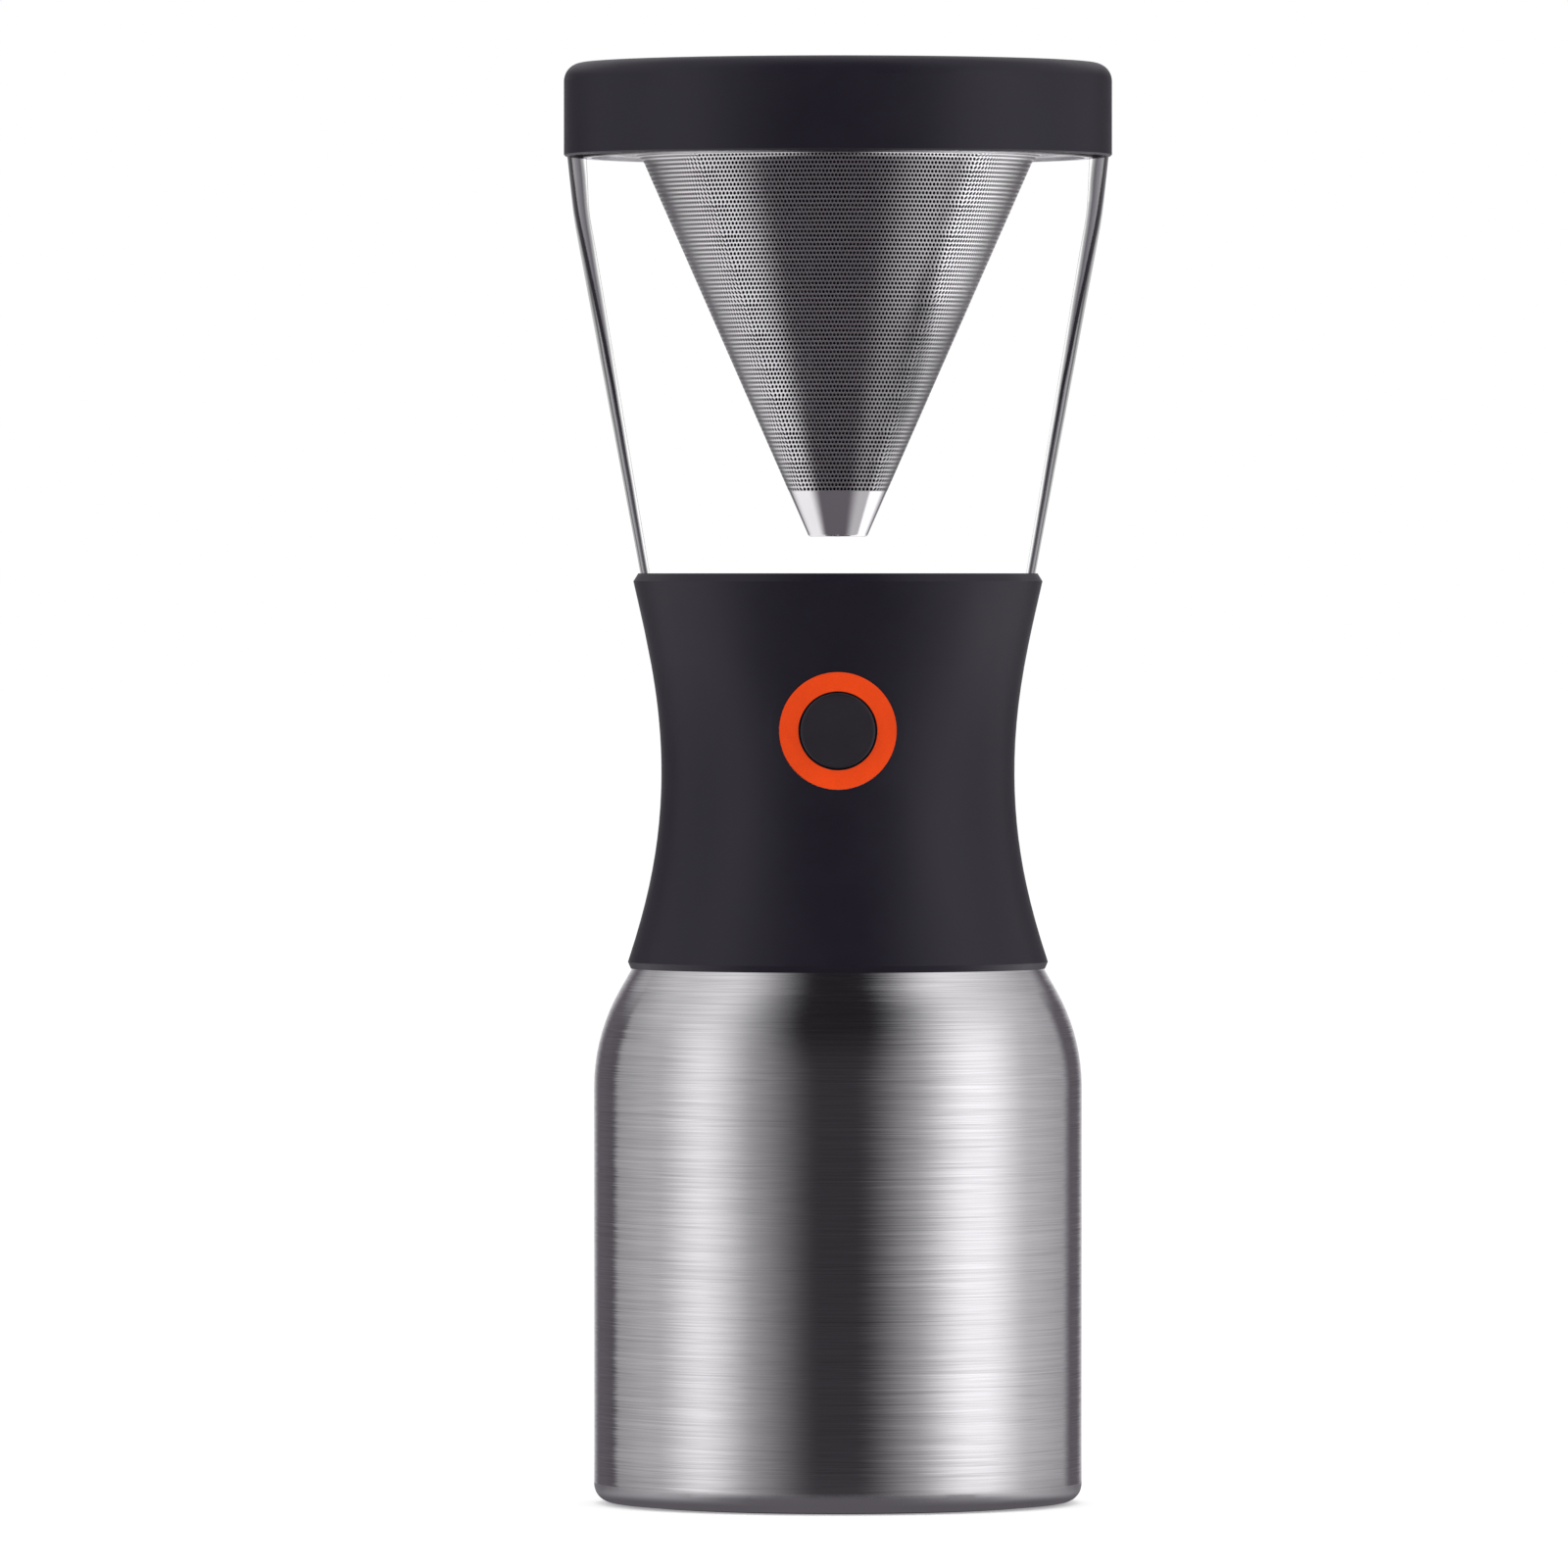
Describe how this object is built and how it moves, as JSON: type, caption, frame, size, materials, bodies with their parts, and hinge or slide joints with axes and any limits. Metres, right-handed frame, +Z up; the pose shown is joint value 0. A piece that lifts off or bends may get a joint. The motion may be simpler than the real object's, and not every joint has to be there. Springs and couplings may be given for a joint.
{
  "type": "cold brew coffee maker",
  "caption": "Cold brew coffee maker: a clear chamber with a lid and a hanging cone filter on a push-button drain valve that screws onto a steel flask.",
  "frame": {"origin": "middle of the foot, on the surface that the flask stands on", "axes": "+Z up through the flask, the brewer and the lid; the push button faces -Y; +X is on the right seen from the button's side"},
  "size_m": [0.1286, 0.1286, 0.3379],
  "materials": {
    "brushed_shell": "brushed with fine level lines",
    "smooth_steel": "satin",
    "liner_steel": "satin",
    "polished_steel": "polished",
    "perforated_steel": "finely perforated",
    "spring_steel": "bright drawn wire",
    "grip_plastic": "satin, very fine grain",
    "lid_plastic": "satin, very fine grain",
    "inner_plastic": "moulded, matt",
    "natural_plastic": "moulded, matt",
    "button_plastic": "fine matt grain",
    "orange_plastic": "matt, coloured through",
    "clear_plastic": "clear and glossy",
    "silicone": "soft, matt",
    "dark_rubber": "soft, matt"
  },
  "bodies": {
    "carafe": {"carafe_outer_shell": "brushed_shell", "carafe_inner_liner": "liner_steel", "carafe_bottom_plate": "liner_steel", "vacuum_getter": "liner_steel", "base_cap": "smooth_steel", "foot_ring": "dark_rubber"},
    "neck_seal": {"neck_gasket": "silicone"},
    "brewer": {"grip_shell": "grip_plastic", "thread_collar": "inner_plastic", "brew_chamber": "clear_plastic", "chamber_gasket": "silicone", "clamp_nut": "inner_plastic", "valve_body": "natural_plastic", "valve_body_seal": "silicone", "housing_screws": "spring_steel", "stem_guide": "natural_plastic", "drip_spout": "inner_plastic", "plunger_seal": "silicone", "gland_cap": "inner_plastic", "button_ring": "orange_plastic", "button_spring": "spring_steel", "valve_spring": "spring_steel"},
    "button": {"button_cap": "button_plastic", "plunger_rod": "polished_steel", "wedge_fork": "natural_plastic"},
    "valve": {"valve_plug": "silicone", "valve_stem": "polished_steel", "cross_pin": "polished_steel", "spring_clip": "spring_steel"},
    "filter": {"filter_cone": "perforated_steel", "filter_rim": "polished_steel", "filter_tip": "polished_steel"},
    "lid": {"lid_cap": "lid_plastic", "lid_liner": "inner_plastic", "lid_gasket": "silicone"}
  },
  "joints": [
    {"name": "brewer_lift", "type": "slide", "parent": "carafe", "child": "neck_seal", "axis": [0, 0, 1], "range_m": [0, 0.00601]},
    {"name": "brewer_turn", "type": "hinge", "parent": "neck_seal", "child": "brewer", "pos_m": [0, 0, 0.16], "axis": [0, 0, 1], "range_deg": [0, 540]},
    {"name": "button_press", "type": "slide", "parent": "brewer", "child": "button", "axis": [0, 1, 0], "range_m": [0, 0.0045], "stiffness_N_per_m": 500, "springref_m": -0.004, "deforming": ["button_spring"]},
    {"name": "valve_lift", "type": "slide", "parent": "brewer", "child": "valve", "axis": [0, 0, 1], "range_m": [0, 0.00271], "stiffness_N_per_m": 150, "springref_m": -0.004, "deforming": ["valve_spring"]},
    {"name": "filter_lift", "type": "slide", "parent": "brewer", "child": "filter", "axis": [0, 0, 1], "range_m": [0, 0.11]},
    {"name": "lid_lift", "type": "slide", "parent": "filter", "child": "lid", "axis": [0, 0, 1], "range_m": [0, 0.05]}
  ],
  "couplings": [
    {"joint": "brewer_lift", "follows": "brewer_turn", "m_per_rad": 0.00063662},
    {"joint": "valve_lift", "follows": "button_press", "ratio": 0.6}
  ]
}
